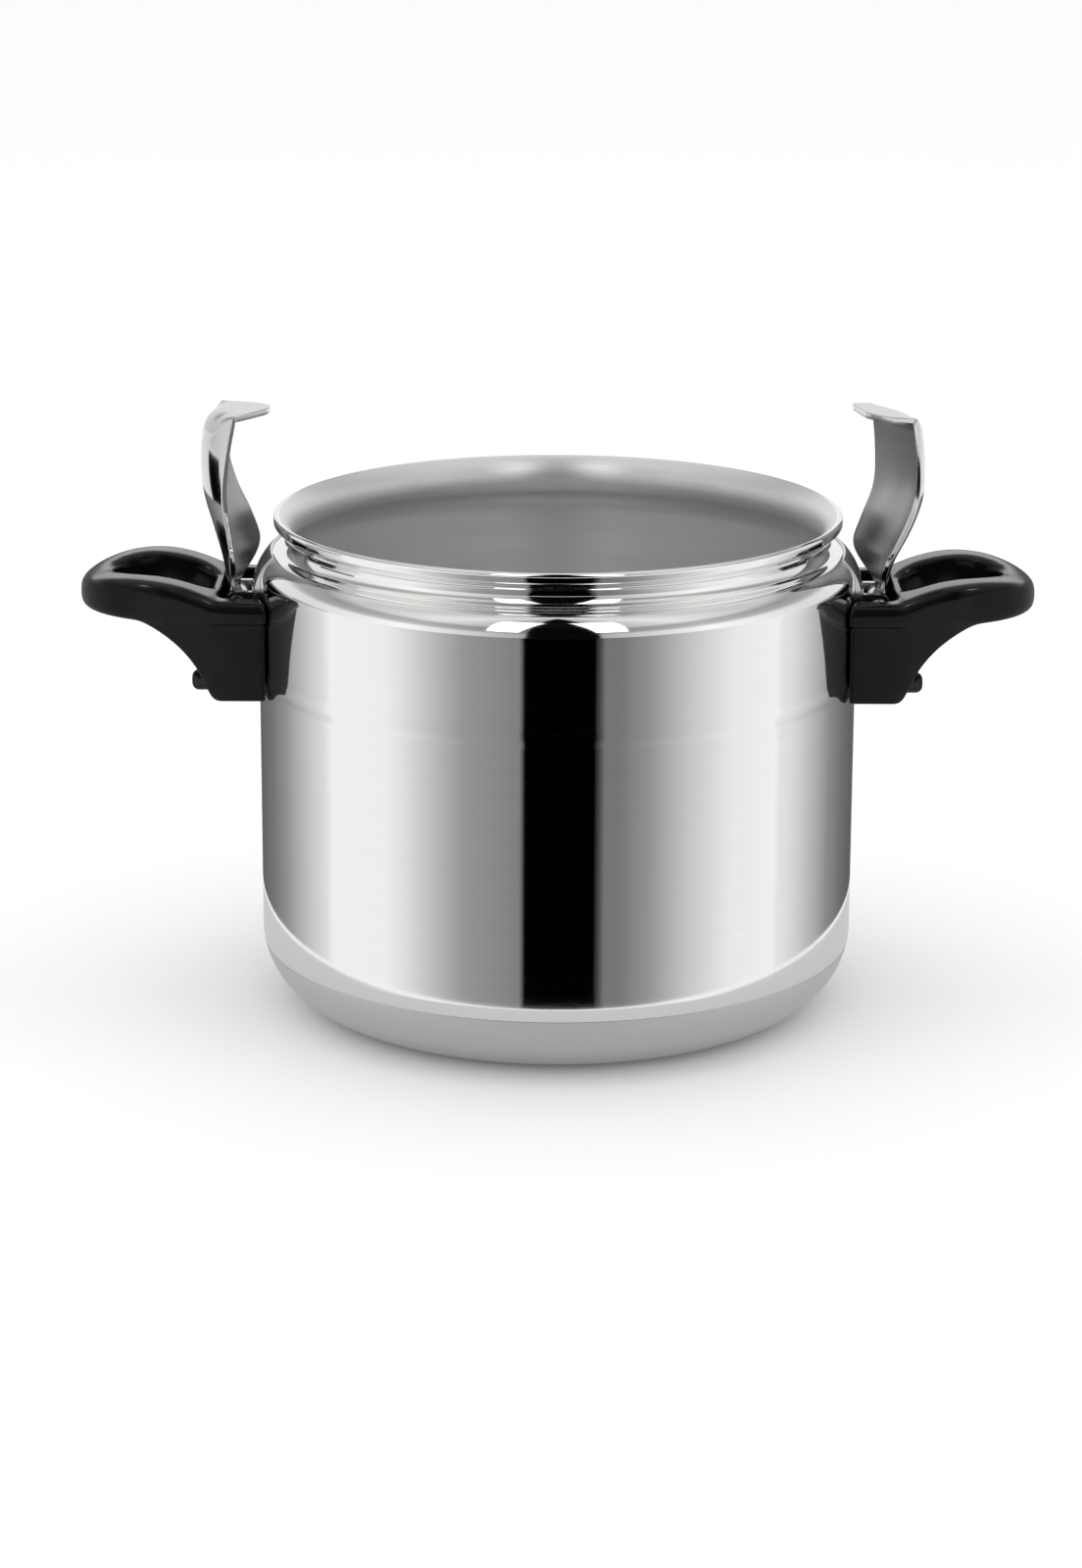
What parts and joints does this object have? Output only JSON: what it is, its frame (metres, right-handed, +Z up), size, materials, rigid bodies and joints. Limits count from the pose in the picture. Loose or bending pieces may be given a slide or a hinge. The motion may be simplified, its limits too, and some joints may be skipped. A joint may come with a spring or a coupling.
{
  "type": "pressure canner body",
  "caption": "Open cylindrical polished steel pan body with a necked rim, an encapsulated base, black loop handles, and hinged hook arms standing above the rim to hold a lid",
  "frame": {"origin": "centre of the underside of the base", "axes": "+X through the right loop handle, the longest way across; +Y away from the hinge pins' heads side on the right; +Z up along the pan's axis"},
  "size_m": [0.351, 0.2206, 0.222],
  "materials": {
    "polished_steel": "mirror-polished stainless steel outside, circumferentially brushed inside",
    "base_steel": "satin stainless steel",
    "base_aluminium": "plain, covered on every side",
    "bracket_steel": "polished stainless steel",
    "arm_steel": "polished stainless steel, softly brushed on the inner face",
    "fastener_steel": "machined stainless steel",
    "nut_coating": "black-coated steel",
    "handle_resin": "glossy black phenolic resin"
  },
  "bodies": {
    "body": {"pot_shell": "polished_steel", "base_cap": "base_steel", "base_disc": "base_aluminium", "right_handle": "handle_resin", "right_bracket": "bracket_steel", "right_cap_nuts": "nut_coating", "right_hinge_pin": "fastener_steel", "right_retaining_ring": "fastener_steel", "right_spacer_washers": "fastener_steel", "right_weld_studs": "fastener_steel", "right_handle_washers": "fastener_steel", "left_handle": "handle_resin", "left_bracket": "bracket_steel", "left_cap_nuts": "nut_coating", "left_hinge_pin": "fastener_steel", "left_retaining_ring": "fastener_steel", "left_spacer_washers": "fastener_steel", "left_weld_studs": "fastener_steel", "left_handle_washers": "fastener_steel"},
    "right_arm": {"right_hook_arm": "arm_steel"},
    "left_arm": {"left_hook_arm": "arm_steel"}
  },
  "joints": [
    {"name": "right_arm_hinge", "type": "hinge", "parent": "body", "child": "right_arm", "pos_m": [0.1176, 0, 0.151], "axis": [0, 1, 0], "range_deg": [-2, 10]},
    {"name": "left_arm_hinge", "type": "hinge", "parent": "body", "child": "left_arm", "pos_m": [-0.1176, 0, 0.151], "axis": [0, -1, 0], "range_deg": [-2, 10]}
  ]
}
